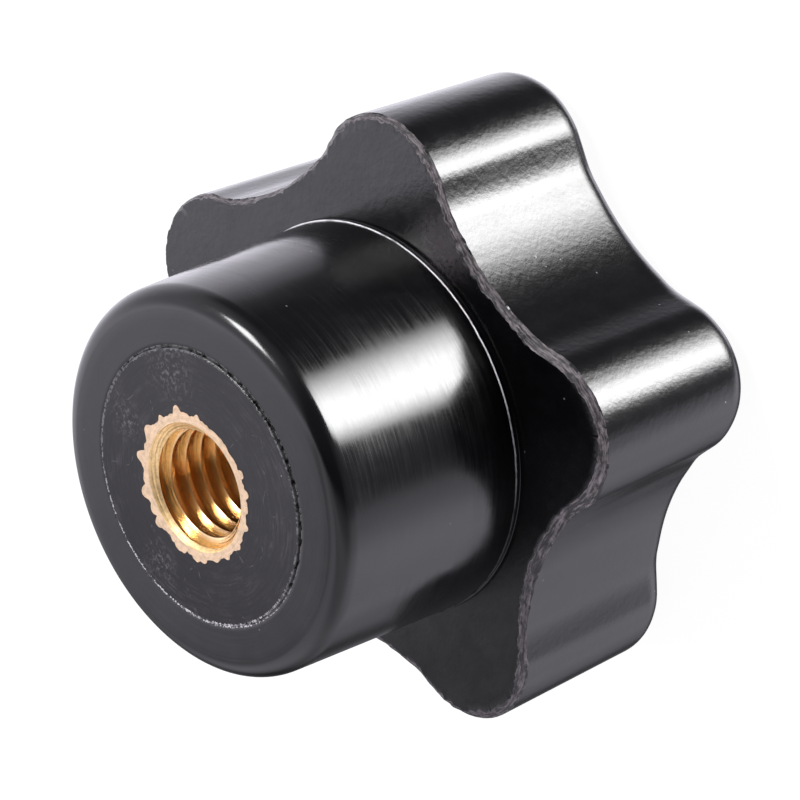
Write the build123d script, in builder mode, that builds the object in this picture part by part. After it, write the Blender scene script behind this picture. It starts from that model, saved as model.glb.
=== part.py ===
"""Five-lobe star knob with a moulded-in threaded insert, in millimetres.

The knob stands on its palm face with the hub up, and the axis of the hub is Z.
The body is moulded around the knurled insert, so its socket is the insert's own
outside. The insert's thread is left plain here, at the size of its tapping drill.
"""

import os
from math import acos, cos, degrees, radians, tan

from build123d import *

# Star: the grip, seen from above
lobe_count = 5
star_diameter = 50.0  # over the lobe tips, on the hub side
lobe_radius = 6.6
valley_ledge = 3.2  # from the foot of the hub out to the lowest point of a valley

# Star: the grip, seen from the side
star_thickness = 16.8
star_draft = 1.5  # degrees, the star narrows towards the palm face
palm_edge_radius = 2.3
trimmed_edge = 0.5  # the flash line along the hub side, filed off at 45 degrees

# Hub
hub_diameter = 31.6  # where it meets the star
hub_length = 18.0  # from the star to the hub's end
hub_draft = 1.5  # degrees, the hub narrows towards its end
hub_end_radius = 1.6

# Seating face: a faced disc that stands just proud of the hub's end
seat_diameter = 21.6
seat_height = 0.2

# Insert: a knurled, grooved bush with a closed end
insert_length = 18.0
knurl_diameter = 12.6  # over the teeth
knurl_teeth = 28
knurl_depth = 0.6
knurl_angle = 90.0  # degrees, included angle of each notch between the teeth
groove_diameter = 11.0  # the compound fills this groove and holds the insert down
groove_width = 3.0
groove_height = 8.0  # from the insert's closed end to the middle of the groove

# Bore for the M10 x 1.5 thread
tapping_diameter = 8.5
bore_depth = 14.5  # of full diameter, from the seating face
drill_point_angle = 118.0
mouth_diameter = 10.2  # of the countersink
countersink_angle = 90.0

# Heights that the sizes above give
hub_end_height = star_thickness + hub_length
seating_height = hub_end_height + seat_height
insert_bottom = seating_height - insert_length


def star_outline():
    """Draw the star as lobe arcs and valley arcs that run into each other smoothly."""
    half_step = 180 / lobe_count
    lobe_distance = star_diameter / 2 - lobe_radius
    valley_bottom = hub_diameter / 2 + valley_ledge

    # The valley arc touches the valley's lowest point and is tangent to both lobes.
    reach = lobe_distance * cos(radians(half_step))
    valley_radius = (lobe_radius**2 - valley_bottom**2 - lobe_distance**2 + 2 * valley_bottom * reach) / (
        2 * (valley_bottom - reach - lobe_radius)
    )
    valley_distance = valley_bottom + valley_radius

    # Half the sweep of each arc: the arcs meet on the line between their two centres.
    along_lobe = valley_distance * cos(radians(half_step)) - lobe_distance
    lobe_sweep = degrees(acos(along_lobe / (lobe_radius + valley_radius)))
    valley_sweep = lobe_sweep - half_step

    with BuildLine() as outline:
        for lobe in range(lobe_count):
            angle = lobe * 2 * half_step
            lobe_centre = Vector(lobe_distance, 0).rotate(Axis.Z, angle)
            CenterArc(lobe_centre, lobe_radius, angle - lobe_sweep, 2 * lobe_sweep)
            valley_angle = angle + half_step
            valley_centre = Vector(valley_distance, 0).rotate(Axis.Z, valley_angle)
            CenterArc(valley_centre, valley_radius, valley_angle + 180 - valley_sweep, 2 * valley_sweep)
    return outline.line


# The insert before it is bored, which is also the shape of its socket in the body.
with BuildPart() as insert_blank:
    with BuildSketch(Plane.XY.offset(insert_bottom)):
        Circle(knurl_diameter / 2)
        # Straight knurl: a V notch, deep and open outwards, between each two teeth.
        notch_half_width = 2 * knurl_depth * tan(radians(knurl_angle / 2))
        with PolarLocations(knurl_diameter / 2, knurl_teeth):
            Polygon(
                (-knurl_depth, 0),
                (knurl_depth, -notch_half_width),
                (knurl_depth, notch_half_width),
                align=None,
                mode=Mode.SUBTRACT,
            )
    extrude(amount=insert_length)

    with BuildSketch(Plane.XY.offset(insert_bottom + groove_height - groove_width / 2)):
        Circle(knurl_diameter / 2)
        Circle(groove_diameter / 2, mode=Mode.SUBTRACT)
    extrude(amount=groove_width, mode=Mode.SUBTRACT)

# Threaded insert: the blank, countersunk and bored from the seating face.
with BuildPart() as threaded_insert:
    add(insert_blank.part)
    tapping_radius = tapping_diameter / 2
    mouth_radius = mouth_diameter / 2
    sink_depth = (mouth_radius - tapping_radius) / tan(radians(countersink_angle / 2))
    point_depth = tapping_radius / tan(radians(drill_point_angle / 2))
    with BuildSketch(Plane.XZ):
        with BuildLine():
            Polyline(
                (0, seating_height),
                (mouth_radius, seating_height),
                (tapping_radius, seating_height - sink_depth),
                (tapping_radius, seating_height - bore_depth),
                (0, seating_height - bore_depth - point_depth),
                close=True,
            )
        make_face()
    revolve(axis=Axis.Z, mode=Mode.SUBTRACT)
threaded_insert.part.label = "threaded_insert"

# Knob body: the drafted star, the hub that stands on it and the faced seat.
with BuildPart() as knob_body:
    with BuildSketch(Plane.XY.offset(star_thickness)):
        with BuildLine():
            add(star_outline())
        make_face()
    extrude(amount=-star_thickness, taper=star_draft)
    fillet(knob_body.edges().group_by(Axis.Z)[0], palm_edge_radius)
    chamfer(knob_body.edges().group_by(Axis.Z)[-1], trimmed_edge)

    with BuildSketch(Plane.XY.offset(star_thickness)):
        Circle(hub_diameter / 2)
    extrude(amount=hub_length, taper=hub_draft)
    fillet(knob_body.edges().group_by(Axis.Z)[-1], hub_end_radius)

    with BuildSketch(Plane.XY.offset(hub_end_height)):
        Circle(seat_diameter / 2)
    extrude(amount=seat_height)

    add(insert_blank.part, mode=Mode.SUBTRACT)
knob_body.part.label = "knob_body"

os.makedirs("parts", exist_ok=True)
export_step(knob_body.part, "parts/knob_body.step")
export_step(threaded_insert.part, "parts/threaded_insert.step")
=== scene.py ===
import random
from math import acos, atan2, ceil, cos, hypot, pi, radians, sin, tan

import bpy
from bpy.props import FloatProperty, FloatVectorProperty, IntProperty, PointerProperty
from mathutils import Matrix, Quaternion, Vector, noise


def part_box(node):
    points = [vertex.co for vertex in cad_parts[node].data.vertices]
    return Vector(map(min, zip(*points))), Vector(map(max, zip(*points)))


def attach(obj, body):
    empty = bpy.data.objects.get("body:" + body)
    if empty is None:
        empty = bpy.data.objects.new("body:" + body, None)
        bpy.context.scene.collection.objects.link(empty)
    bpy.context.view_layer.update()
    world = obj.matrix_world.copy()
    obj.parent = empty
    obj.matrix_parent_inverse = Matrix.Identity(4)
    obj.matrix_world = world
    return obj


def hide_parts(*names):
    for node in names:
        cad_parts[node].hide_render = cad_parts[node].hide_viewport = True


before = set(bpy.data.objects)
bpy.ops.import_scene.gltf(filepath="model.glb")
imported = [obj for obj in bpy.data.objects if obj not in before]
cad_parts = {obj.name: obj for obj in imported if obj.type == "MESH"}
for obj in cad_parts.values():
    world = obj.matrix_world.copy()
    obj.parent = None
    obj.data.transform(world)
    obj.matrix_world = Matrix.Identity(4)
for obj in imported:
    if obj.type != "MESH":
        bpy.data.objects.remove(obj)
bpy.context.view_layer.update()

bl_info = {
    "name": "Star Knob",
    "version": (1, 0, 0),
    "blender": (4, 5, 0),
    "location": "View3D > Sidebar > Star Knob",
    "description": "A moulded five-lobe star knob with a brass insert, and the studio around it",
    "category": "Add Mesh",
}

knob_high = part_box("knob_body")[1]
insert_low, insert_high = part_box("threaded_insert")

MM = 0.001
LOBES = 5
RING_POINTS = 960  # around every ring of the moulding, so that rings bridge point to point
ARC_POINTS = RING_POINTS // (2 * LOBES)
TAP_POINTS = 120  # around one turn of the thread
SINK_POINTS = 240  # around the countersink
MERGE_GAP = 1e-7
BISECT_GAP = 1e-8
SAME_PLACE = 1e-6
SLIVER = 0.01 * MM

# The star's face rises this much to the hub, so that its two rings bridge the right way round
FACE_RISE = 0.02 * MM
FACE_ROWS = 10
# Shares of the wall's height at which it has a ring, close together under the filed edge
WALL_RINGS = (0.015, 0.3, 0.65, 1)
PALM_RINGS = 12
TRIM_RINGS = 5
HUB_RINGS = 6
HUB_END_RINGS = 14
# Where the flanks are eased, counted from the meeting of lobe and valley
FLANK_MIDDLE = radians(1.5)
FLANK_REACH = radians(9.0)

FLANK_ANGLE = radians(30)
DRILL_POINT = radians(118)

# Rings of the parting line's bead, as shares of its height and millimetres up
BEAD_STEPS = ((1.0, 0.02), (1.3, 0.05), (1.0, 0.085))
# Rings on the rim and on the faced disc, as millimetres from the edge between them
RIM_STEPS = (2.2, 1.2, 0.5, 0.25)
SEAT_STEPS = (0.03, 0.16, 0.6, 2.0, 3.6)

# Side of the knob on which most of the edge was filed off, and how fast that fades round the knob
TRIM_SIDE = radians(132)
TRIM_FADE = 1.4
# Ripples, as pairs of waves per metre, or round a circle of radius 1, and height in millimetres
TRIM_WAVES = ((220, 0.35), (1000, 0.28), (2600, 0.28))  # heights as shares of the width
TRIM_GRAIN = ((1700, 0.03), (4200, 0.03))
TRIM_LIFT = ((1500, 0.11),)
LIP_WAVES = ((700, 0.16), (2500, 0.12))
FLASH_WAVES = ((42, 0.05), (130, 0.035))
FLASH_LIFT = ((90, 0.02),)
WITNESS_WAVES = ((9, 0.05), (40, 0.02))
# Sets a ripple apart from others of the same place
TRIM_SHIFT = (7, 3, 1)
FLASH_SHIFT = (5, 5, 5)

# The facing tool's burrs: reach of most teeth, how much further a few of them reach, width and point
BURR_SEED = 11
BURR_SHIFT = 0.3  # as a share of the spacing
BURR_REACH = (5.74, 6.02)
LONG_BURR_SHARE = 0.12
LONG_BURR = (0.1, 0.25)
BURR_WIDTH = (0.5, 1.3)
BURR_POINT = (0.4, 2.2)
# Burrs pulled furthest over the moulding, as degrees round the axis and reach in millimetres
BIG_BURRS = ((-123, 6.45), (-82, 6.3), (-57, 6.42), (-29, 6.32), (-4, 6.2))
BIG_BURR_WIDTH = (0.8, 1.2)
BIG_BURR_POINT = (0.9, 1.5)
# Where the faced disc and the star's face were scuffed, as a place and a reach in millimetres
SCUFFED_SPOTS = (((-4.9, -7.7, 35.0), 3.0), ((8.7, 1.5, 35.0), 2.2), ((2.5, -8.0, 35.0), 2.2))
FACE_SCUFF = ((-17.4, -4.5, 16.8), 3.4)
# Direction in which the edge of the faced disc tore most, and the side of the hub's foot where the witness line is
# painted near-white as a painted highlight of the key softbox
TORN_SIDE = 0.49
LINE_HIGHLIGHT_SIDE = -2.79

# Slots of the moulding's materials
BUFFED_HUB, STAR_FACE, TRIMMED, SEAT, FLASH, TUMBLED_STAR, WITNESS = range(7)
# Slots of the insert's materials
SMEARED, TURNED, THREAD = range(3)


def length(name, description, millimetres, least=0.0):
    """A size in metres with its default in millimetres."""
    return FloatProperty(
        name=name,
        description=description,
        default=millimetres * MM,
        min=least,
        precision=5,
        subtype="DISTANCE",
        unit="LENGTH",
    )


def tilt(name, description, degrees):
    """An angle in radians with its default in degrees."""
    return FloatProperty(
        name=name, description=description, default=radians(degrees), subtype="ANGLE", unit="ROTATION"
    )


def colour(name, description, value):
    return FloatVectorProperty(
        name=name, description=description, default=value, size=3, min=0.0, max=1.0, subtype="COLOR"
    )


def amount(name, description, value, high):
    return FloatProperty(name=name, description=description, default=value, min=0.0, max=high, subtype="FACTOR")


class StarSizes(bpy.types.PropertyGroup):
    """The five-lobe grip."""

    diameter: length("Diameter", "Over the lobe tips, on the hub side", 2 * knob_high.x / MM)
    lobe_radius: length("Lobe Radius", "Radius of each lobe", 6.6)
    valley_ledge: length("Valley Ledge", "From the foot of the hub to the bottom of a valley", 3.2)
    thickness: length("Thickness", "From the palm face to the face around the hub", 16.8)
    draft: tilt("Draft", "Lean of the wall, narrowing towards the palm", 1.5)
    palm_edge: length("Palm Edge", "How far the rounded palm edge reaches inwards", 2.3)
    palm_rise: length("Palm Rise", "How far the rounded palm edge reaches up the wall", 2.5)
    flank_ease: length("Flank Ease", "How far the flanks between lobe and valley leave the plain arcs", 0.13)
    trim_depth: length("Trim Depth", "How far the filed edge reaches down the wall", 0.34)
    trim_thin: length("Thin Trim", "Width of the filed edge where it is narrowest", 0.22)
    trim_wide: length("Wide Trim", "Width of the filed edge where it is widest", 0.95)


class HubSizes(bpy.types.PropertyGroup):
    """The turned hub and its seating face."""

    diameter: length("Diameter", "Where the hub meets the star", 31.6)
    draft: tilt("Draft", "Lean of the wall, narrowing towards the end", 1.5)
    end_height: length("End Height", "Height of the rim around the seating face", 34.8)
    end_radius: length("End Radius", "Radius of the rounded end", 1.6)
    witness_rise: length("Witness Rise", "Height of the parting line over the hub's foot", 0.4)
    witness_height: length("Witness Height", "How far the parting line stands out", 0.065)
    seat_diameter: length("Seat Diameter", "Of the faced seating disc", 21.6)
    seat_height: length("Seat Height", "Height of the faced disc above the palm face", 34.975)
    crevice_depth: length("Crevice Depth", "Of the groove around the faced disc", 0.09)


class InsertSizes(bpy.types.PropertyGroup):
    """The knurled brass insert and its thread."""

    top: length("Top", "Height of the insert's face", insert_high.z / MM)
    bottom: length("Bottom", "Height of the insert's closed end", insert_low.z / MM)
    knurl_diameter: length("Knurl Diameter", "Over the teeth", 12.6)
    knurl_depth: length("Knurl Depth", "Of the notches between the teeth", 0.6)
    teeth: IntProperty(name="Teeth", description="Number of knurl teeth", default=28, min=8)
    groove_diameter: length("Groove Diameter", "Of the groove that holds the insert down", 11.0)
    groove_width: length("Groove Width", "Width of that groove", 3.0)
    groove_height: length("Groove Height", "From the closed end to the middle of the groove", 8.0)
    major: length("Thread Major", "Largest diameter of the thread", 10.1)
    minor: length("Thread Minor", "Smallest diameter of the thread", 8.4)
    pitch: length("Pitch", "Rise of the thread in one turn", 1.5)
    mouth: length("Mouth", "Diameter of the countersink at the face", 10.2)
    thread_length: length("Thread Length", "From the face to the end of the thread", 13.65)
    bore_depth: length("Bore Depth", "From the face to the shoulder of the drill point", 14.5)
    lip_depth: length("Lip Depth", "Depth of the smeared lip at the faced end", 0.07)
    off_x: length("Off Centre X", "How far the insert was moulded in off centre", 0.30, -1.0)
    off_y: length("Off Centre Y", "How far the insert was moulded in off centre", -0.20, -1.0)


class KnobFinish(bpy.types.PropertyGroup):
    """Colours of the compound and the brass."""

    compound: colour("Compound", "Polished moulding compound", (0.0013, 0.0012, 0.0015))
    faced: colour("Faced Compound", "Compound cut by the facing tool", (0.020, 0.018, 0.022))
    filed: colour("Filed Compound", "Compound where the flash was filed off", (0.150, 0.130, 0.138))
    brass: colour("Brass", "Brass of the thread", (0.74, 0.39, 0.11))
    turned_brass: colour("Turned Brass", "Brass of the countersink", (1.0, 0.72, 0.36))
    smeared_brass: colour("Smeared Brass", "Brass of the faced end", (0.75, 0.565, 0.385))


class StudioSetup(bpy.types.PropertyGroup):
    """Camera, lamps and floor."""

    distance: length("Camera Distance", "From the aim point", 340.62)
    azimuth: tilt("Camera Azimuth", "Direction of the camera around the knob", 161.490)
    elevation: tilt("Camera Elevation", "Height of the camera above the floor", 40.151)
    roll: tilt("Camera Roll", "Turn of the camera about its own line of sight", -111.892)
    lens: FloatProperty(name="Lens", description="Focal length in millimetres", default=197.957)
    key_light: amount("Key Light", "Brightness of the tall softbox", 19.0, 100.0)
    rim_light: amount("Rim Light", "Brightness of the small softbox", 20.0, 100.0)
    tent_light: amount("Tent Light", "Brightness of the walls around the knob", 1.0, 10.0)


# ---------------------------------------------------------------- modelling steps


def edit():
    bpy.ops.object.mode_set(mode="EDIT")


def leave_edit_mode():
    if bpy.context.object and bpy.context.object.mode != "OBJECT":
        bpy.ops.object.mode_set(mode="OBJECT")


def select_everything():
    bpy.ops.mesh.select_all(action="SELECT")


def set_in_place():
    """Move a piece's place, turn and size into its mesh."""
    bpy.ops.object.transform_apply(location=True, rotation=True, scale=True)


def deselect_objects():
    leave_edit_mode()
    bpy.ops.object.select_all(action="DESELECT")


def start_point(name, place):
    """Start a piece as one point, left selected in edit mode."""
    deselect_objects()
    bpy.ops.mesh.primitive_plane_add(size=MM, location=(0, 0, 0))
    piece = bpy.context.object
    piece.name = piece.data.name = name
    edit()
    bpy.ops.mesh.select_mode(type="VERT")
    select_everything()
    bpy.ops.mesh.merge(type="CENTER")
    bpy.ops.transform.translate(value=place)
    return piece


def draw_profile(points):
    """Pull the selected point on through a list of (radius, height) points."""
    for (radius, height), (next_radius, next_height) in zip(points, points[1:]):
        step = (next_radius - radius, 0, next_height - height)
        bpy.ops.mesh.extrude_vertices_move(TRANSFORM_OT_translate={"value": step})


def merge_all():
    select_everything()
    bpy.ops.mesh.remove_doubles(threshold=MERGE_GAP)


def spin_selected(sweep, steps, centre=(0, 0, 0)):
    """Turn what is selected about an upright axis; a positive sweep goes anticlockwise."""
    bpy.ops.mesh.spin(steps=steps, angle=-sweep, center=centre, axis=(0, 0, 1))


def turn_profile(name, points):
    """Turn a profile of (radius, height) points right round the knob's axis."""
    piece = start_point(name, (points[0][0], 0, points[0][1]))
    draw_profile(points)
    select_everything()
    spin_selected(2 * pi, RING_POINTS)
    merge_all()
    return piece


def select_ring(piece, height, tolerance=SAME_PLACE):
    """Select the points of an open edge at one height."""
    bpy.ops.mesh.select_all(action="DESELECT")
    bpy.ops.mesh.select_non_manifold(extend=False)
    leave_edit_mode()
    for edge in piece.data.edges:
        points = [piece.data.vertices[i] for i in edge.vertices]
        edge.select = edge.select and all(abs(p.co.z - height) < tolerance for p in points)
    for point in piece.data.vertices:
        point.select = point.select and abs(point.co.z - height) < tolerance
    for face in piece.data.polygons:
        face.select = False
    edit()


def close_ring(piece, height, up):
    """Close an open ring with one flat face whose normal points up or down."""
    select_ring(piece, height)
    bpy.ops.mesh.edge_face_add()
    leave_edit_mode()
    flat = next(face for face in piece.data.polygons if face.select)
    wrong_way = (flat.normal.z > 0) != up
    edit()
    if wrong_way:
        bpy.ops.mesh.flip_normals()


def inset_to(rows, start):
    """Inset the selected face through (inset, height) rows, counted from the start row."""
    inset, height = start
    for next_inset, next_height in rows:
        step = {"thickness": next_inset - inset, "depth": abs(next_height - height)}
        bpy.ops.mesh.inset(use_even_offset=True, use_boundary=True, **step)
        inset, height = next_inset, next_height


def arc_rows(centre, radius, start, end, steps):
    """Points on an arc, the first one left out."""
    turns = [start + (end - start) * k / steps for k in range(1, steps + 1)]
    return [(centre[0] + radius * cos(turn), centre[1] + radius * sin(turn)) for turn in turns]


def face_outwards():
    """Turn all faces of the piece in edit mode outwards, and leave edit mode."""
    select_everything()
    bpy.ops.mesh.normals_make_consistent(inside=False)
    leave_edit_mode()


def finish_mesh(angle):
    """Close the seams of the active piece, turn its faces outwards and shade it smooth."""
    leave_edit_mode()
    edit()
    merge_all()
    face_outwards()
    bpy.ops.object.shade_smooth_by_angle(angle=angle)


def cut_out(piece, cutter):
    """Cut one closed shape out of another."""
    deselect_objects()
    piece.select_set(True)
    bpy.context.view_layer.objects.active = piece
    cut = piece.modifiers.new("Cut", "BOOLEAN")
    cut.operation = "DIFFERENCE"
    cut.solver = "EXACT"
    cut.object = cutter
    bpy.ops.object.modifier_apply(modifier=cut.name)
    bpy.data.meshes.remove(cutter.data)


def reshape(piece, mover):
    """Move every point of a piece to where mover puts it."""
    leave_edit_mode()
    for point in piece.data.vertices:
        moved = mover(point.co)
        if moved is not None:
            point.co = moved


def reshape_rings(piece, marked, radius_at):
    """Give the rings at a marked radius the outline that radius_at gives for each angle."""

    def move(place):
        if abs(hypot(place.x, place.y) - marked) > SLIVER:
            return None
        angle = atan2(place.y, place.x)
        return polar(radius_at(angle), angle, place.z)

    reshape(piece, move)


def pick_finishes(piece, choose):
    """Give every face the slot that choose names for its radius and height."""
    for face in piece.data.polygons:
        face.material_index = choose(hypot(face.center.x, face.center.y), face.center.z)


def polar(distance, angle, height=0.0):
    return Vector((distance * cos(angle), distance * sin(angle), height))


def ripple(place, waves, shift=(0, 0, 0)):
    """Height of a rippled surface at a place, as the sum of its waves."""
    return sum(noise.noise(place * each + Vector(shift)) * height for each, height in waves)


def clamp(share):
    return min(1.0, max(0.0, share))


# ---------------------------------------------------------------- shapes of this knob


def star_arcs(star, hub):
    """Distances of the lobe and valley centres from the axis, and half the sweep of a lobe's arc."""
    half_step = pi / LOBES
    lobe_distance = star.diameter / 2 - star.lobe_radius
    valley_bottom = hub.diameter / 2 + star.valley_ledge
    reach = lobe_distance * cos(half_step)
    valley_radius = (
        star.lobe_radius**2 - valley_bottom**2 - lobe_distance**2 + 2 * valley_bottom * reach
    ) / (2 * (valley_bottom - reach - star.lobe_radius))
    valley_distance = valley_bottom + valley_radius
    along_lobe = valley_distance * cos(half_step) - lobe_distance
    return lobe_distance, valley_distance, acos(along_lobe / (star.lobe_radius + valley_radius))


def draw_star(name, star, hub, inset, height):
    """Draw the outline of the star as ten arcs, each one a spun point."""
    lobe_distance, valley_distance, lobe_sweep = star_arcs(star, hub)
    step = 2 * pi / LOBES
    valley_sweep = lobe_sweep - step / 2
    start = polar(lobe_distance, 0, height) + polar(star.lobe_radius - inset, -lobe_sweep)
    piece = start_point(name, start)
    for lobe in range(LOBES):
        spin_selected(2 * lobe_sweep, ARC_POINTS, polar(lobe_distance, lobe * step, height))
        spin_selected(-2 * valley_sweep, ARC_POINTS, polar(valley_distance, (lobe + 0.5) * step, height))
    merge_all()
    return piece


def way_in(point, star, hub):
    """Level direction from the star's outline into the star."""
    lobe_distance, valley_distance, _ = star_arcs(star, hub)
    step = 2 * pi / LOBES
    angle = atan2(point.y, point.x)
    level = Vector((point.x, point.y, 0))
    from_lobe = level - polar(lobe_distance, round(angle / step) * step)
    if from_lobe.length < star.lobe_radius + SLIVER:
        return -from_lobe.normalized()
    return (level - polar(valley_distance, (round(angle / step - 0.5) + 0.5) * step)).normalized()


def steepen_flanks(piece, star, hub):
    """Ease the flanks between lobes and valleys a little steeper than the plain arcs leave them."""
    lobe_distance, _, lobe_sweep = star_arcs(star, hub)
    meeting = polar(lobe_distance, 0) + polar(star.lobe_radius, lobe_sweep)
    flank = atan2(meeting.y, meeting.x) + FLANK_MIDDLE
    step = 2 * pi / LOBES

    def ease(place):
        angle = atan2(place.y, place.x)
        from_lobe = abs(angle - round(angle / step) * step)
        share = (from_lobe - flank) / FLANK_REACH
        if abs(share) >= 1:
            return None
        return place + way_in(place, star, hub) * star.flank_ease * sin(pi * share) * (1 + cos(pi * share)) / 2

    reshape(piece, ease)


def trim_width(point, star):
    """Width of the filed edge: widest towards one side of the knob, and ragged."""
    angle = atan2(point.y, point.x)
    sweep = (0.5 + 0.5 * cos(angle - TRIM_SIDE)) ** TRIM_FADE
    return star.trim_thin + (star.trim_wide - star.trim_thin) * clamp(sweep + ripple(point, TRIM_WAVES))


def burr_teeth(insert):
    """Angle, reach, width and point of each tooth as the facing tool left it, from a fixed seed."""
    draw = random.Random(BURR_SEED)
    teeth = []
    for tooth in range(insert.teeth):
        angle = (tooth + draw.uniform(-BURR_SHIFT, BURR_SHIFT)) * 2 * pi / insert.teeth
        reach = draw.uniform(*BURR_REACH) * MM
        if draw.random() < LONG_BURR_SHARE:
            reach += draw.uniform(*LONG_BURR) * MM
        teeth.append((angle, reach, draw.uniform(*BURR_WIDTH), draw.uniform(*BURR_POINT)))
    for degrees, reach in BIG_BURRS:
        angle = radians(degrees % 360)
        teeth.append((angle, reach * MM, draw.uniform(*BIG_BURR_WIDTH), draw.uniform(*BIG_BURR_POINT)))
    return teeth


def burr_radius(teeth, root, angle):
    """Ragged outline of the smeared brass round the tooth tips."""
    angle %= 2 * pi
    half = pi / (len(teeth) - len(BIG_BURRS))
    best = root
    for tip, reach, wide, point in teeth:
        away = abs((angle - tip + pi) % (2 * pi) - pi) / (half * wide)
        if away < 1:
            best = max(best, root + (reach - root) * (1 - away**2) ** point)
    return best + ripple(polar(6 * MM, angle), LIP_WAVES) * MM


def lip_mark(insert):
    """Radius that marks a ring to be given the lip's ragged outline."""
    return insert.knurl_diameter / 2 + 0.5 * MM


def shape_knurl(piece, insert):
    """Notch the rings at the knurl's full radius, and smear the marked ones as facing did."""
    full = insert.knurl_diameter / 2
    teeth = burr_teeth(insert)

    def notched(angle):
        turn = (angle / (2 * pi) * insert.teeth) % 1.0
        return full - insert.knurl_depth * (1 - abs(2 * turn - 1))

    reshape_rings(piece, full, notched)
    reshape_rings(piece, lip_mark(insert), lambda angle: burr_radius(teeth, full - insert.knurl_depth, angle))


def move_socket(piece, insert):
    """Move the socket off centre with the insert, and nothing beyond the seating disc."""
    near = insert.knurl_diameter / 2 + 0.1 * MM
    far = near + 3 * MM

    def shift(place):
        share = clamp((far - hypot(place.x, place.y)) / (far - near))
        return place + Vector((insert.off_x, insert.off_y, 0)) * share

    reshape(piece, shift)


# ---------------------------------------------------------------- moulding


def model_star(star, hub):
    """Model the grip up to the open edge around its upper face."""
    lean = tan(star.draft)
    low = star.thickness - star.trim_depth
    first = star.trim_depth * lean
    piece = draw_star("knob_body_moulding", star, hub, first, low)

    # Down the wall, round the palm edge and across the palm
    first_turn = atan2(tan(star.draft) * star.palm_rise, star.palm_edge)
    arc_start = star.palm_rise * (1 - sin(first_turn))
    arc_inset = (star.thickness - arc_start) * lean
    wall = [(first + (arc_inset - first) * k, low + (arc_start - low) * k) for k in WALL_RINGS]
    centre = arc_inset + star.palm_edge * cos(first_turn)
    turns = [first_turn + (pi / 2 - first_turn) * k / PALM_RINGS for k in range(1, PALM_RINGS + 1)]
    rim = [(centre - star.palm_edge * cos(turn), star.palm_rise * (1 - sin(turn))) for turn in turns]
    close_ring(piece, low, up=False)
    inset_to(wall + rim, (first, low))

    # The filed edge, up to the face around the hub
    close_ring(piece, low, up=True)
    steps = [star.trim_depth * k / TRIM_RINGS for k in range(1, TRIM_RINGS + 1)]
    inset_to([(first + step, low + step) for step in steps], (first, low))
    bpy.ops.mesh.delete(type="ONLY_FACE")

    def rough(place):
        if place.z < low - MERGE_GAP:
            return None
        share = (place.z - low) / star.trim_depth
        width = trim_width(Vector((place.x, place.y, 0)), star)
        grain = ripple(place, TRIM_GRAIN) * MM
        if share < 0.01:  # the lowest ring, which the wall shares
            grain /= 2
        moved = place + way_in(place, star, hub) * ((width - star.trim_depth) * share + grain)
        if share < 0.99:  # all but the ring that the star's face shares
            moved.z += ripple(place, TRIM_LIFT, TRIM_SHIFT) * MM * (1 - share)
        return moved

    leave_edit_mode()
    across = piece.data.attributes.new("across_trim", "FLOAT", "POINT")
    across.data.foreach_set("value", [clamp((point.co.z - low) / star.trim_depth) for point in piece.data.vertices])
    reshape(piece, rough)
    steepen_flanks(piece, star, hub)
    pick_finishes(piece, lambda radius, height: TRIMMED if height > low + SLIVER else TUMBLED_STAR)
    return piece


def hub_profile(star, hub, insert):
    """Half section of the hub, from its foot to the bottom of the socket."""
    foot = hub.diameter / 2
    line_height = star.thickness + hub.witness_rise

    def wall(height):
        return foot - (height - star.thickness) * tan(hub.draft)

    # The foot and the bead of the parting line
    bead_top = line_height + 0.11 * MM
    points = [(foot + 0.03 * MM, star.thickness + FACE_RISE), (foot, star.thickness + 0.05 * MM)]
    points += [(wall(line_height) + share * hub.witness_height, line_height + up * MM) for share, up in BEAD_STEPS]
    points += [(wall(bead_top), bead_top)]

    # Up the wall and round the end
    arc_centre_height = hub.end_height - hub.end_radius
    arc_start = arc_centre_height + hub.end_radius * sin(hub.draft)
    arc_centre = wall(arc_start) - hub.end_radius * cos(hub.draft)
    base = line_height + 0.3 * MM
    heights = [base + (arc_start - base) * k / HUB_RINGS for k in range(HUB_RINGS + 1)]
    points += [(wall(height), height) for height in heights]
    points += arc_rows((arc_centre, arc_centre_height), hub.end_radius, hub.draft, pi / 2, HUB_END_RINGS)

    # Over the rim, through the groove and on to the faced disc
    seat = hub.seat_diameter / 2
    rim = hub.end_height
    points += [(seat + step * MM, rim) for step in RIM_STEPS]
    points += [
        (seat + 0.13 * MM, rim - 0.02 * MM),
        (seat + 0.10 * MM, rim - hub.crevice_depth),
        (seat + 0.05 * MM, rim - hub.crevice_depth),
        (seat + 0.02 * MM, hub.seat_height - 0.04 * MM),
    ]
    points += [(seat - step * MM, hub.seat_height) for step in SEAT_STEPS]
    lip_low = insert.top - insert.lip_depth
    points += [(lip_mark(insert), hub.seat_height), (lip_mark(insert), lip_low)]
    return points + socket_profile(insert, lip_low)


def socket_profile(insert, top):
    """The insert's side from the top down, as it is moulded in."""
    side = insert.knurl_diameter / 2
    groove = insert.groove_diameter / 2
    middle = insert.bottom + insert.groove_height
    groove_top = middle + insert.groove_width / 2
    groove_low = middle - insert.groove_width / 2
    return [
        (side, top),
        (side, groove_top),
        (groove, groove_top),
        (groove, groove_low),
        (side, groove_low),
        (side, insert.bottom),
    ]


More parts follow.
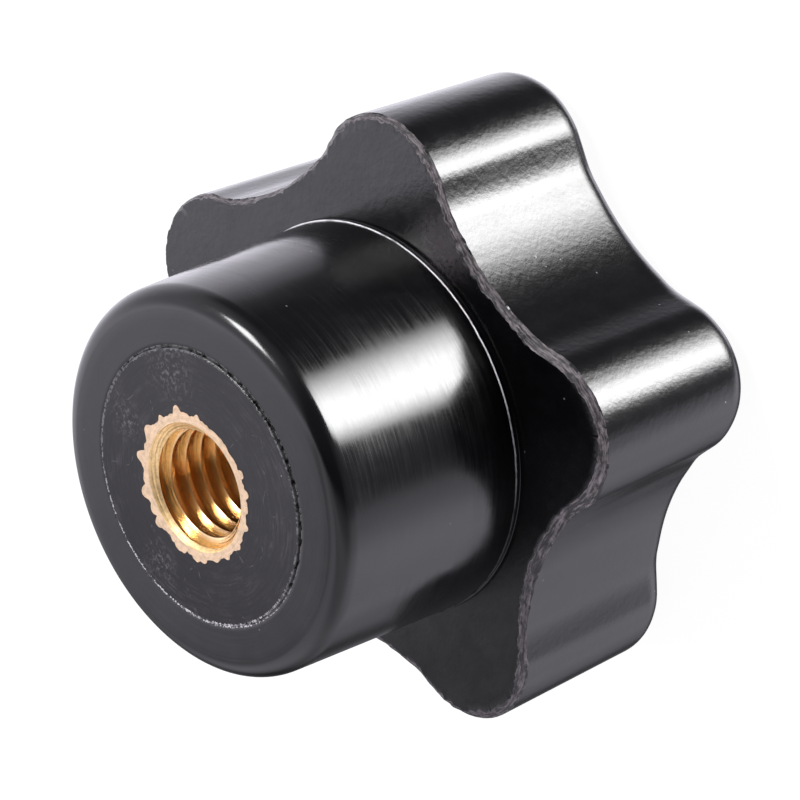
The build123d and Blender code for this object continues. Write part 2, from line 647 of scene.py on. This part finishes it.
def model_hub(star, hub, insert):
    """Turn the hub with its open socket, and tear and ripple its edges."""
    piece = turn_profile("hub", hub_profile(star, hub, insert))
    close_ring(piece, insert.bottom, up=True)
    shape_knurl(piece, insert)
    seat = hub.seat_diameter / 2
    foot = hub.diameter / 2
    line_height = star.thickness + hub.witness_rise
    groove_low = hub.end_height - 0.3 * MM

    def weather(place):
        radius = hypot(place.x, place.y)
        outward = Vector((place.x, place.y, 0)).normalized()
        if abs(radius - seat) < 0.27 * MM and place.z > groove_low:
            torn = max(0.0, outward.dot(polar(1, TORN_SIDE)))
            moved = place + outward * ripple(outward, FLASH_WAVES) * (1 + 2.4 * torn) * MM
            if place.z > hub.end_height + 0.05 * MM and radius > seat - 0.1 * MM:
                moved.z += min(0.0, ripple(outward, FLASH_LIFT, FLASH_SHIFT)) * MM
            return moved
        on_line = star.thickness + hub.witness_rise * 0.9 < place.z < line_height + 0.2 * MM
        if on_line and radius > foot - 0.2 * MM:
            return place + Vector((0, 0, ripple(outward, WITNESS_WAVES) * MM))
        return None

    def finish_at(radius, height):
        if height > groove_low and radius < seat + 0.2 * MM:
            return FLASH if radius > seat - 0.1 * MM else SEAT
        if line_height < height < line_height + 0.15 * MM and radius > foot - 0.05 * MM:
            return WITNESS
        return BUFFED_HUB

    reshape(piece, weather)
    move_socket(piece, insert)
    pick_finishes(piece, finish_at)
    return piece


def model_moulding(star, hub, insert, materials):
    """Model the star and the hub and join them into one closed moulding."""
    grip = model_star(star, hub)
    turned = model_hub(star, hub, insert)
    fill_slots(grip, materials)
    fill_slots(turned, materials)
    deselect_objects()
    turned.select_set(True)
    grip.select_set(True)
    bpy.context.view_layer.objects.active = grip
    bpy.ops.object.join()
    edit()
    select_ring(grip, star.thickness, 1.5 * FACE_RISE)
    bpy.ops.mesh.bridge_edge_loops(number_cuts=FACE_ROWS, interpolation="LINEAR")
    grip.active_material_index = STAR_FACE
    bpy.ops.object.material_slot_assign()
    finish_mesh(radians(32))
    return grip


# ---------------------------------------------------------------- insert


def model_blank(insert):
    """Model the knurled blank with the ragged lip that facing left on top."""
    lip = lip_mark(insert)
    lip_low = insert.top - insert.lip_depth
    points = [(lip, insert.top), (lip, lip_low)]
    points += socket_profile(insert, lip_low)
    piece = turn_profile("threaded_insert_brass", points)
    close_ring(piece, insert.top, up=True)
    close_ring(piece, insert.bottom, up=False)
    shape_knurl(piece, insert)
    finish_mesh(radians(30))
    return piece


def model_tap(insert):
    """Model a tap with the thread's shape: one pitch of profile, screwed round."""
    minor, major, pitch = insert.minor / 2, insert.major / 2, insert.pitch
    ease = 0.05 * MM  # rounds the crests and roots
    slope = ease * tan(FLANK_ANGLE)
    low = insert.top - insert.thread_length
    start = low - 2 * pitch
    crest_end = start + pitch / 4
    root_start = crest_end + (major - minor) * tan(FLANK_ANGLE)
    root_end = start + pitch - (major - minor) * tan(FLANK_ANGLE)
    profile = [
        (minor, start),
        (minor, crest_end - ease),
        (minor + 0.3 * ease, crest_end),
        (minor + ease, crest_end + slope),
        (major - ease, root_start - slope),
        (major, root_start + slope),
        (major, root_end - slope),
        (major - ease, root_end + slope),
        (minor + ease, start + pitch - slope),
        (minor + 0.3 * ease, start + pitch - 0.4 * ease),
        (minor, start + pitch),
    ]
    piece = start_point("tap", (minor, 0, start))
    draw_profile(profile)
    leave_edit_mode()
    screw = piece.modifiers.new("Thread", "SCREW")
    screw.axis = "Z"
    screw.angle = 2 * pi
    screw.screw_offset = pitch
    screw.iterations = ceil(insert.thread_length / pitch) + 4
    screw.steps = screw.render_steps = TAP_POINTS
    screw.use_merge_vertices = True
    screw.merge_threshold = MERGE_GAP
    bpy.ops.object.modifier_apply(modifier=screw.name)
    edit()
    merge_all()
    for height, direction in ((low, -1), (insert.top + 0.6 * MM, 1)):
        select_everything()
        cut = {"plane_co": (0, 0, height), "plane_no": (0, 0, direction), "threshold": BISECT_GAP}
        bpy.ops.mesh.bisect(clear_outer=True, use_fill=True, **cut)
    face_outwards()
    return piece


def model_drill(insert):
    """Model the tip of the tapping drill that shaped the blind end."""
    radius = insert.minor / 2 - 0.02 * MM
    top = insert.top - insert.thread_length + 0.3 * MM
    shoulder = insert.top - insert.bore_depth
    point = radius / tan(DRILL_POINT / 2)
    deselect_objects()
    bpy.ops.mesh.primitive_cylinder_add(
        vertices=TAP_POINTS, radius=radius, depth=top - shoulder, location=(0, 0, (top + shoulder) / 2)
    )
    piece = bpy.context.object
    set_in_place()
    for face in piece.data.polygons:
        face.select = face.normal.z < -0.9
    edit()
    bpy.ops.mesh.select_mode(type="FACE")
    bpy.ops.mesh.extrude_region_move(TRANSFORM_OT_translate={"value": (0, 0, -point)})
    bpy.ops.mesh.merge(type="CENTER")
    bpy.ops.mesh.select_mode(type="VERT")
    face_outwards()
    return piece


def model_countersink(insert):
    """Model the cutter that opened the mouth of the thread."""
    above = 0.3 * MM
    wide = insert.mouth / 2 + above
    narrow = insert.minor / 2 - 0.1 * MM
    deselect_objects()
    bpy.ops.mesh.primitive_cone_add(
        vertices=SINK_POINTS,
        radius1=narrow,
        radius2=wide,
        depth=wide - narrow,
        location=(0, 0, insert.top + above - (wide - narrow) / 2),
    )
    set_in_place()
    return bpy.context.object


def model_insert(insert):
    """Model the insert: the blank with its thread, blind end and countersink cut out."""
    piece = model_blank(insert)
    for model_cutter in (model_tap, model_drill, model_countersink):
        cut_out(piece, model_cutter(insert))
    mouth = insert.mouth / 2

    def finish_at(radius, height):
        if height > insert.top - 0.06 * MM:
            return SMEARED
        on_cone = radius < mouth and abs(radius - height + insert.top - mouth) < 0.02 * MM
        return TURNED if on_cone else THREAD

    pick_finishes(piece, finish_at)
    move_socket(piece, insert)
    finish_mesh(radians(38))
    return piece


# ---------------------------------------------------------------- materials


# The file's strokes on the trimmed edge: along it, and from side to side
STROKES_PER_METRE = 750.0
STROKES_ACROSS = 5.5
# Colours, as a node takes them
DUST = (0.10, 0.10, 0.11, 1.0)
SCUFFED_FACE = (0.046, 0.035, 0.042, 1.0)
SCUFFED_SEAT = (0.20, 0.19, 0.21, 1.0)
# Near-white of the painted highlight on the parting line round the hub's foot
LINE_HIGHLIGHT_TINT = (1.0, 0.98, 1.0, 1.0)
TORN_FLASH_TINT = (0.5, 0.49, 0.5, 1.0)
# Pale brass of the painted highlight on the thread's crests
CREST_HIGHLIGHT_TINT = (1.0, 0.78, 0.50, 1.0)
WHITE = (1.0, 1.0, 1.0, 1.0)


def opaque(tint, share=1.0):
    """A colour as a node takes it, made darker or lighter by a share."""
    return tuple(share * part for part in tint) + (1.0,)


class Nodes:
    """Short hand for laying out one node tree."""

    def __init__(self, tree):
        self.tree = tree
        self.column = 0

    def add(self, kind, inputs=None, **settings):
        node = self.tree.nodes.new(kind)
        self.column += 1
        node.location = (self.column * 180, -(self.column % 4) * 160)
        for key, value in settings.items():
            setattr(node, key, value)
        return self.connect(node, inputs or {})

    def connect(self, node, inputs):
        """Give each named input a link or a plain value."""
        for key, value in inputs.items():
            if isinstance(value, bpy.types.Node):
                value = value.outputs[0]
            if isinstance(value, bpy.types.NodeSocket):
                self.tree.links.new(value, node.inputs[key])
            else:
                node.inputs[key].default_value = value
        return node

    def group(self, name, place, **values):
        """Place a node group, and return its outputs."""
        inputs = {key.replace("_", " ").title(): value for key, value in values.items()}
        node = self.add("ShaderNodeGroup", {"Vector": place, **inputs}, node_tree=bpy.data.node_groups[name])
        return node.outputs

    def maths(self, operation, a, b=0.0):
        return self.add("ShaderNodeMath", {0: a, 1: b}, operation=operation).outputs[0]

    def times(self, a, b):
        return self.maths("MULTIPLY", a, b)

    def vector_maths(self, operation, a, b=(0, 0, 0)):
        return self.add("ShaderNodeVectorMath", {0: a, 1: b}, operation=operation).outputs["Value"]

    def span(self, value, low, high, to_low=0.0, to_high=1.0, smooth=False):
        inputs = {0: value, 1: low, 2: high, 3: to_low, 4: to_high}
        kind = "SMOOTHSTEP" if smooth else "LINEAR"
        return self.add("ShaderNodeMapRange", inputs, interpolation_type=kind).outputs[0]

    def noise(self, vector, scale, detail, roughness):
        inputs = {"Vector": vector, "Scale": scale, "Detail": detail, "Roughness": roughness}
        return self.add("ShaderNodeTexNoise", inputs).outputs["Fac"]

    def mix(self, share, a, b):
        return self.add("ShaderNodeMix", {0: share, 6: a, 7: b}, data_type="RGBA").outputs[2]

    def bump(self, height, strength, distance, under=None):
        inputs = {"Height": height, "Strength": strength, "Distance": distance}
        if under is not None:
            inputs["Normal"] = under
        return self.add("ShaderNodeBump", inputs).outputs[0]

    def apart(self, place):
        return self.add("ShaderNodeSeparateXYZ", {0: place}).outputs

    def together(self, x, y, z=0.0):
        return self.add("ShaderNodeCombineXYZ", {0: x, 1: y, 2: z}).outputs[0]

    def from_axis(self, place):
        """Distance of a place from the knob's axis."""
        x, y, _ = self.apart(place)
        return self.vector_maths("LENGTH", self.together(x, y))

    def towards(self, place, angle):
        """Distance of a place from the middle, towards one side of the knob."""
        return self.vector_maths("DOT_PRODUCT", place, polar(1, angle))

    def near(self, place, spot):
        """Mask that fades out around a spot, given as a place and a reach in millimetres."""
        middle, reach = spot
        away = self.vector_maths("DISTANCE", place, Vector(middle) * MM)
        return self.span(away, 0.2 * reach * MM, reach * MM, 1.0, 0.0)

    def dusted(self, place, base):
        """A colour with specks of dust on it."""
        return self.mix(self.group("Dust", place)["Speck"], base, DUST)


def new_group(name, values, outputs):
    """Start a shader node group that reads a place and named values, and puts out values."""
    group = bpy.data.node_groups.new(name, "ShaderNodeTree")
    group.interface.new_socket(name="Vector", in_out="INPUT", socket_type="NodeSocketVector")
    for socket, default in values.items():
        item = group.interface.new_socket(name=socket, in_out="INPUT", socket_type="NodeSocketFloat")
        item.default_value = default
    for socket in outputs:
        group.interface.new_socket(name=socket, in_out="OUTPUT", socket_type="NodeSocketFloat")
    nodes = Nodes(group)
    return nodes, nodes.add("NodeGroupInput").outputs, nodes.add("NodeGroupOutput")


def make_ring_marks():
    """Marks that run round the axis, fine across and long around, as turning and buffing leave them."""
    values = {"Marks Per Metre": 4000.0, "Length": 60.0}
    nodes, given, result = new_group("Ring Marks", values, ("Fine", "Patches"))
    place = given["Vector"]
    x, y, z = nodes.apart(place)
    across = nodes.times(nodes.maths("ADD", nodes.from_axis(place), z), given["Marks Per Metre"])
    grain = nodes.together(nodes.times(x, given["Length"]), nodes.times(y, given["Length"]), across)
    nodes.connect(
        result, {"Fine": nodes.noise(grain, 1.0, 4.0, 0.65), "Patches": nodes.noise(place, 240.0, 3.0, 0.55)}
    )


def make_dust():
    """Sparse specks of dust, and short fine scratches."""
    values = {"Specks Per Metre": 900.0, "Share": 0.11}
    nodes, given, result = new_group("Dust", values, ("Speck", "Scratch"))
    place = given["Vector"]
    cells = nodes.add("ShaderNodeTexVoronoi", {"Vector": place, "Scale": given["Specks Per Metre"]})
    chosen = nodes.maths("LESS_THAN", nodes.apart(cells.outputs["Color"])[0], given["Share"])
    speck = nodes.times(chosen, nodes.span(cells.outputs["Distance"], 0.04, 0.09, 1.0, 0.0))
    drift = nodes.maths("SUBTRACT", nodes.noise(place, 170.0, 1.0, 0.5), 0.5)
    line = nodes.span(nodes.maths("ABSOLUTE", drift), 0.0, 0.005, 1.0, 0.0)
    broken = nodes.span(nodes.noise(place, 1400.0, 4.0, 0.7), 0.50, 0.62)
    nodes.connect(result, {"Speck": speck, "Scratch": nodes.times(line, broken)})


def bare_nodes(owner):
    """Start the node tree of a world, lamp or material afresh."""
    owner.use_nodes = True
    owner.node_tree.nodes.clear()
    return Nodes(owner.node_tree)


def make_material(lay, *values, name=None):
    """Make a material from a function that lays its nodes and returns what feeds the shader."""
    material = bpy.data.materials.new(name or lay.__name__)
    material.use_nodes = True
    nodes = Nodes(material.node_tree)
    place = nodes.add("ShaderNodeTexCoord").outputs["Object"]
    nodes.connect(material.node_tree.nodes["Principled BSDF"], lay(nodes, place, *values))
    return material


def buffed_hub(nodes, place, finish):
    """Compound buffed on a wheel, with marks round the hub."""
    marks = nodes.group("Ring Marks", place, marks_per_metre=7000.0, length=160.0)
    rough = nodes.span(marks["Fine"], 0.35, 0.7, 0.13, 0.24)
    cloudy = nodes.span(marks["Patches"], 0.4, 0.7, -0.02, 0.07)
    swell = nodes.bump(nodes.noise(place, 420.0, 3.0, 0.55), 0.06, 0.1 * MM)
    return {
        "Base Color": nodes.dusted(place, opaque(finish.compound)),
        "Roughness": nodes.maths("ADD", rough, cloudy),
        "IOR": 1.5,
        "Normal": nodes.bump(marks["Fine"], 0.04, 0.05 * MM, swell),
    }


def tumbled_star(nodes, place, finish):
    """Compound rubbed smooth in a tumbler, with a finely dimpled skin."""
    return {
        "Base Color": nodes.dusted(place, opaque(finish.compound)),
        "Roughness": nodes.span(nodes.noise(place, 500.0, 4.0, 0.6), 0.2, 0.8, 0.17, 0.24),
        "Specular IOR Level": 0.47,
        "Normal": nodes.bump(nodes.noise(place, 1900.0, 4.0, 0.6), 0.30, 0.07 * MM),
    }


def witness_line(nodes, place, finish):
    """The parting line, faintly pale where it tore, and painted near-white in broken streaks on the side of the hub
    facing the key softbox as a painted highlight, where its reflection is made stronger too.
    """
    tone = nodes.span(nodes.noise(place, 700.0, 3.0, 0.6), 0.25, 0.5)
    towards = nodes.towards(place, LINE_HIGHLIGHT_SIDE)
    # torn: mask of the painted highlight, strong on the key softbox's side and faint elsewhere
    torn = nodes.times(tone, nodes.span(towards, 3 * MM, 14 * MM, 0.06, 0.9))
    return {
        "Base Color": nodes.mix(torn, opaque(finish.compound), LINE_HIGHLIGHT_TINT),
        "Specular IOR Level": nodes.span(towards, 2 * MM, 13 * MM, 0.05, 1.0),
        "Roughness": nodes.span(towards, 2 * MM, 13 * MM, 0.8, 0.3),
    }


def moulded_star_face(nodes, place, finish):
    """The star's face as it left the mould, with one scuff, and a painted shade that weakens its reflection towards
    +y.
    """
    crumbs = nodes.span(nodes.noise(place, 2200.0, 4.0, 0.7), 0.36, 0.64)
    scuffed = nodes.times(nodes.near(place, FACE_SCUFF), crumbs)
    base = nodes.mix(scuffed, opaque(finish.compound), SCUFFED_FACE)
    rough = nodes.span(nodes.noise(place, 330.0, 4.0, 0.6), 0.35, 0.7, 0.16, 0.30)
    return {
        "Base Color": nodes.dusted(place, base),
        "Roughness": nodes.maths("ADD", rough, nodes.times(scuffed, 0.25)),
        "Normal": nodes.bump(nodes.noise(place, 1400.0, 5.0, 0.65), 0.20, 0.1 * MM),
        # Painted shade: the reflection is made weaker towards +y across the face
        "Specular IOR Level": nodes.span(nodes.apart(place)[1], -5 * MM, 18 * MM, 0.5, 0.26),
    }


def filed_edge(nodes, place, finish):
    """The filed edge, with strokes along it and crumbs of compound."""
    x, y, _ = nodes.apart(place)
    across = nodes.add("ShaderNodeAttribute", attribute_name="across_trim").outputs["Fac"]
    along = (nodes.times(x, STROKES_PER_METRE), nodes.times(y, STROKES_PER_METRE))
    stroke = nodes.noise(nodes.together(*along, nodes.times(across, STROKES_ACROSS)), 1.0, 4.0, 0.65)
    crumbs = nodes.noise(place, 2300.0, 3.0, 0.65)
    tone = nodes.maths("ADD", nodes.times(stroke, 0.75), nodes.times(crumbs, 0.25))
    cut = nodes.span(tone, 0.45, 0.64)
    return {
        "Base Color": nodes.mix(cut, opaque(finish.filed, 0.10), opaque(finish.filed, 1.5)),
        "Roughness": nodes.span(tone, 0.3, 0.7, 0.5, 0.28),
        "Normal": nodes.bump(tone, 0.8, 0.2 * MM),
    }


def faced_seat(nodes, place, finish):
    """Compound cut by the facing tool, with worn marks, scuffs and scratches, and a painted shade that weakens its
    reflection towards one side.
    """
    marks = nodes.group("Ring Marks", place, marks_per_metre=4200.0, length=420.0)
    worn = nodes.noise(place, 900.0, 4.0, 0.7)
    patches = nodes.span(nodes.times(marks["Patches"], worn), 0.22, 0.40)
    blend = nodes.times(nodes.span(marks["Fine"], 0.45, 0.8), patches)
    faced = nodes.mix(blend, opaque(finish.faced, 0.35), opaque(finish.faced, 2.6))
    dust = nodes.group("Dust", place)
    scuffs = nodes.maths("MAXIMUM", dust["Speck"], nodes.times(dust["Scratch"], 0.4))
    crumbs = nodes.span(nodes.noise(place, 2600.0, 4.0, 0.7), 0.50, 0.68, 0.0, 0.5)
    for spot in SCUFFED_SPOTS:
        scuffs = nodes.maths("MAXIMUM", scuffs, nodes.times(crumbs, nodes.near(place, spot)))
    x, y, _ = nodes.apart(place)
    # Painted shade: distance towards one side of the disc, along which its reflection is made weaker
    painted_shade_side = nodes.maths("ADD", x, nodes.times(y, 0.57))
    grain = nodes.bump(worn, 0.25, 0.05 * MM)
    return {
        "Base Color": nodes.mix(scuffs, faced, SCUFFED_SEAT),
        "Roughness": nodes.span(marks["Fine"], 0.3, 0.7, 0.52, 0.40),
        "Specular IOR Level": nodes.span(painted_shade_side, -6 * MM, 10 * MM, 0.37, 0.25),
        "Normal": nodes.bump(marks["Fine"], 0.16, 0.05 * MM, grain),
    }


def torn_flash(nodes, place, finish):
    """The torn edge of the faced disc."""
    tone = nodes.noise(place, 1700.0, 4.0, 0.7)
    torn = nodes.span(nodes.towards(place, TORN_SIDE), 2 * MM, 9 * MM, 0.2, 1.0)
    bright = nodes.times(nodes.span(tone, 0.42, 0.52), torn)
    return {
        "Base Color": nodes.mix(bright, opaque(finish.compound), TORN_FLASH_TINT),
        "Roughness": 0.3,
        "Normal": nodes.bump(tone, 0.6, 0.1 * MM),
    }


def brass(nodes, place, base, spread, rough, mark_length, relief, crest_highlight_share=0.0):
    """Brass with tool marks round the axis, mottled by spread, and painted pale at the thread's crests as a painted
    highlight.
    """
    marks = nodes.group("Ring Marks", place, marks_per_metre=4500.0, length=mark_length)
    mottle = nodes.span(nodes.noise(place, 2300.0, 4.0, 0.7), 0.36, 0.56)
    coat = nodes.mix(mottle, opaque(base, spread), opaque(base))
    # Painted highlight: paler colour towards the crests of the thread
    crest_highlight_mask = nodes.span(nodes.from_axis(place), 4.3 * MM, 4.7 * MM, crest_highlight_share, 0.0)
    return {
        "Base Color": nodes.mix(crest_highlight_mask, coat, CREST_HIGHLIGHT_TINT),
        "Metallic": 1.0,
        "Roughness": nodes.span(marks["Fine"], 0.3, 0.7, rough, rough * 1.5),
        "Normal": nodes.bump(marks["Fine"], relief, 0.1 * MM),
    }


def fill_slots(piece, materials):
    for material in materials:
        piece.data.materials.append(material)


# ---------------------------------------------------------------- studio

# Softboxes: azimuth and elevation in degrees, width and height in metres
LAMP_DISTANCE = 1.0
KEY_PLACE = (175, -40, 0.67, 1.45)
RIM_PLACE = (-112, 49, 0.30, 0.30)
KEY_FADE = (0.26, 0.55, 0.38)
# The tent's wall, as degrees round the knob and brightness, low down and high up
LOW_WALL = (
    *((-180, 0.12), (-150, 0.10), (-122, 0.10), (-106, 0.20), (-95, 0.75), (-80, 1.5), (-46, 1.85), (-8, 0.2)),
    *((16, 0.06), (38, 0.5), (55, 1.0), (90, 1.7), (112, 1.1), (124, 0.25), (145, 0.3), (180, 0.12)),
)
HIGH_WALL = (
    *((-180, 0.15), (-140, 0.5), (-100, 0.8), (-60, 1.1), (-27, 2.0), (-13, 0.66), (5, 1.2)),
    *((30, 1.3), (60, 0.85), (88, 1.0), (110, 0.5), (128, 0.06), (180, 0.15)),
)
# Heights on the unit sphere between which the low wall turns into the high one
WALL_BLEND = (-0.15, 0.45)
BRIGHTEST_WALL = 2.0
TENT_TINT = (0.993, 0.967, 1.07)
FLOOR_SIZE = 6.0
FLOOR_GAP = 0.02 * MM
FLOOR_PAINT = (0.10, 0.10, 0.10, 1.0)
FLOOR_GLOW = 0.95
CAMERA_TARGET = (-0.14 * MM, -0.43 * MM, 13.53 * MM)


def aim(thing, place, target, roll=0.0):
    """Put a camera or lamp at a place, looking at a target."""
    thing.location = place
    look = (Vector(target) - Vector(place)).to_track_quat("-Z", "Y")
    thing.rotation_mode = "QUATERNION"
    thing.rotation_quaternion = look @ Quaternion((0, 0, 1), roll)


def direction(azimuth, elevation):
    return Vector((cos(azimuth) * cos(elevation), sin(azimuth) * cos(elevation), sin(elevation)))


def softbox(name, brightness, azimuth, elevation, wide, tall):
    """Hang a rectangular softbox whose face has the given brightness, with its place in degrees."""
    deselect_objects()
    bpy.ops.object.light_add(type="AREA")
    lamp = bpy.context.object
    lamp.name = lamp.data.name = name
    lamp.data.shape = "RECTANGLE"
    lamp.data.size = wide
    lamp.data.size_y = tall
    lamp.data.energy = brightness * 4 * wide * tall
    middle = Vector((0, 0, knob_high.z / 2))
    aim(lamp, middle + direction(radians(azimuth), radians(elevation)) * LAMP_DISTANCE, middle)
    lamp.visible_camera = False
    return lamp


def fade_sides(lamp, first, last, low):
    """Let a softbox fade to both sides and its foot, from the given shares of its width and height."""
    nodes = bare_nodes(lamp.data)
    across, up, _ = nodes.apart(nodes.add("ShaderNodeNewGeometry").outputs["Parametric"])
    sides = nodes.times(nodes.span(across, 0.0, first), nodes.span(across, last, 1.0, 1.0, 0.0))
    level = nodes.times(sides, nodes.maths("POWER", nodes.span(up, 0.0, low), 2.0))
    glow = nodes.add("ShaderNodeEmission", {"Color": WHITE, "Strength": level})
    nodes.add("ShaderNodeOutputLight", {"Surface": glow})


def tent_ramp(nodes, around, stops):
    """Brightness of the tent wall round the horizon, as (degrees, brightness) stops."""
    ramp = nodes.add("ShaderNodeValToRGB", {"Fac": around})
    ramp.color_ramp.interpolation = "EASE"
    spots = ramp.color_ramp.elements
    while len(spots) < len(stops):
        spots.new(0.5)
    for spot, (angle, level) in zip(spots, stops):
        spot.position = (angle + 180) / 360
        spot.color = opaque(TENT_TINT, level / BRIGHTEST_WALL)
    return ramp.outputs["Color"]


def make_tent(strength):
    """Soft white tent around the knob, darker on the camera's side."""
    world = bpy.data.worlds.new("studio_tent")
    bpy.context.scene.world = world
    nodes = bare_nodes(world)
    x, y, z = nodes.apart(nodes.add("ShaderNodeTexCoord").outputs["Generated"])
    around = nodes.span(nodes.maths("ARCTAN2", y, x), -pi, pi)
    low, high = tent_ramp(nodes, around, LOW_WALL), tent_ramp(nodes, around, HIGH_WALL)
    tent = nodes.mix(nodes.span(z, *WALL_BLEND, smooth=True), low, high)
    seen = nodes.add("ShaderNodeLightPath").outputs["Is Camera Ray"]
    wall = nodes.add("ShaderNodeBackground", {"Color": tent, "Strength": BRIGHTEST_WALL * strength})
    white = nodes.add("ShaderNodeBackground", {"Color": WHITE, "Strength": 1.0})
    both = nodes.add("ShaderNodeMixShader", {0: seen, 1: wall, 2: white})
    nodes.add("ShaderNodeOutputWorld", {"Surface": both})


def make_floor():
    """Plain white floor that glows to the camera, keeps a faint shadow and is clear from below."""
    deselect_objects()
    bpy.ops.mesh.primitive_plane_add(size=FLOOR_SIZE, location=(0, 0, -FLOOR_GAP))
    floor = bpy.context.object
    floor.name = floor.data.name = "floor"
    material = bpy.data.materials.new("white_floor")
    nodes = bare_nodes(material)
    seen = nodes.add("ShaderNodeLightPath").outputs["Is Camera Ray"]
    paint = nodes.add("ShaderNodeBsdfDiffuse", {"Color": FLOOR_PAINT})
    glow = nodes.add("ShaderNodeEmission", {"Color": WHITE, "Strength": nodes.times(seen, FLOOR_GLOW)})
    both = nodes.add("ShaderNodeAddShader", {0: paint, 1: glow})
    underside = nodes.add("ShaderNodeNewGeometry").outputs["Backfacing"]
    clear = nodes.add("ShaderNodeBsdfTransparent")
    one_sided = nodes.add("ShaderNodeMixShader", {0: underside, 1: both, 2: clear})
    nodes.add("ShaderNodeOutputMaterial", {"Surface": one_sided})
    floor.data.materials.append(material)
    for ray in ("diffuse", "glossy", "transmission", "shadow"):
        setattr(floor, "visible_" + ray, False)


# In the order of the moulding's slots
MOULDING_FINISHES = (
    buffed_hub, moulded_star_face, filed_edge, faced_seat, torn_flash, tumbled_star, witness_line
)


# ---------------------------------------------------------------- operators and panel


class STARKNOB_OT_moulding(bpy.types.Operator):
    """Build the moulded star and hub as one closed piece"""

    bl_idname = "star_knob.moulding"
    bl_label = "Moulding"

    def execute(self, context):
        scene = context.scene
        materials = [make_material(lay, scene.knob_finish) for lay in MOULDING_FINISHES]
        piece = model_moulding(scene.star_sizes, scene.hub_sizes, scene.insert_sizes, materials)
        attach(piece, "root")
        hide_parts("knob_body")
        return {"FINISHED"}


class STARKNOB_OT_insert(bpy.types.Operator):
    """Build the knurled and threaded brass insert"""

    bl_idname = "star_knob.insert"
    bl_label = "Threaded Insert"

    def execute(self, context):
        scene = context.scene
        piece = model_insert(scene.insert_sizes)
        finish = scene.knob_finish
        materials = [
            make_material(brass, finish.smeared_brass, 0.78, 0.42, 200.0, 0.6, name="smeared_brass"),
            make_material(brass, finish.turned_brass, 0.74, 0.36, 90.0, 1.0, name="turned_brass"),
            # The thread's last share, 0.75, is how pale its crests are painted, a painted highlight
            make_material(brass, finish.brass, 0.85, 0.14, 140.0, 0.6, 0.75, name="thread_brass"),
        ]
        fill_slots(piece, materials)
        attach(piece, "root")
        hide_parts("threaded_insert")
        return {"FINISHED"}


class STARKNOB_OT_studio(bpy.types.Operator):
    """Set up the floor, the lamps, the tent and the camera"""

    bl_idname = "star_knob.studio"
    bl_label = "Studio"

    def execute(self, context):
        scene = context.scene
        studio = scene.studio_setup
        make_floor()
        make_tent(studio.tent_light)
        fade_sides(softbox("key_softbox", studio.key_light, *KEY_PLACE), *KEY_FADE)
        softbox("rim_softbox", studio.rim_light, *RIM_PLACE)
        deselect_objects()
        bpy.ops.object.camera_add()
        camera = context.object
        camera.name = "camera"
        camera.data.lens = studio.lens
        camera.data.sensor_width = 36.0
        target = Vector(CAMERA_TARGET)
        away = direction(studio.azimuth, studio.elevation) * studio.distance
        aim(camera, target + away, target, studio.roll)
        camera.data.clip_start = 0.01
        scene.camera = camera
        scene.view_settings.view_transform = "Standard"
        return {"FINISHED"}


class STARKNOB_PT_panel(bpy.types.Panel):
    """Sizes, finishes and build steps of the star knob"""

    bl_idname = "STARKNOB_PT_panel"
    bl_label = "Star Knob"
    bl_space_type = "VIEW_3D"
    bl_region_type = "UI"
    bl_category = "Star Knob"

    def draw(self, context):
        for group in SIZE_GROUPS:
            box = self.layout.box()
            box.label(text=group)
            settings = getattr(context.scene, group)
            for name in settings.bl_rna.properties.keys():
                if name not in ("rna_type", "name"):
                    box.prop(settings, name)
        for operator in BUILD_STEPS:
            self.layout.operator(operator)


SIZE_GROUPS = {
    "star_sizes": StarSizes,
    "hub_sizes": HubSizes,
    "insert_sizes": InsertSizes,
    "knob_finish": KnobFinish,
    "studio_setup": StudioSetup,
}
BUILD_STEPS = ("star_knob.moulding", "star_knob.insert", "star_knob.studio")
CLASSES = (*SIZE_GROUPS.values(), STARKNOB_OT_moulding, STARKNOB_OT_insert, STARKNOB_OT_studio, STARKNOB_PT_panel)


def register():
    for item in CLASSES:
        bpy.utils.register_class(item)
    for name, group in SIZE_GROUPS.items():
        setattr(bpy.types.Scene, name, PointerProperty(type=group))


def unregister():
    for name in SIZE_GROUPS:
        delattr(bpy.types.Scene, name)
    for item in reversed(CLASSES):
        bpy.utils.unregister_class(item)


def main():
    register()
    make_ring_marks()
    make_dust()
    bpy.ops.star_knob.moulding()
    bpy.ops.star_knob.insert()
    bpy.ops.star_knob.studio()


if __name__ == "__main__":
    main()
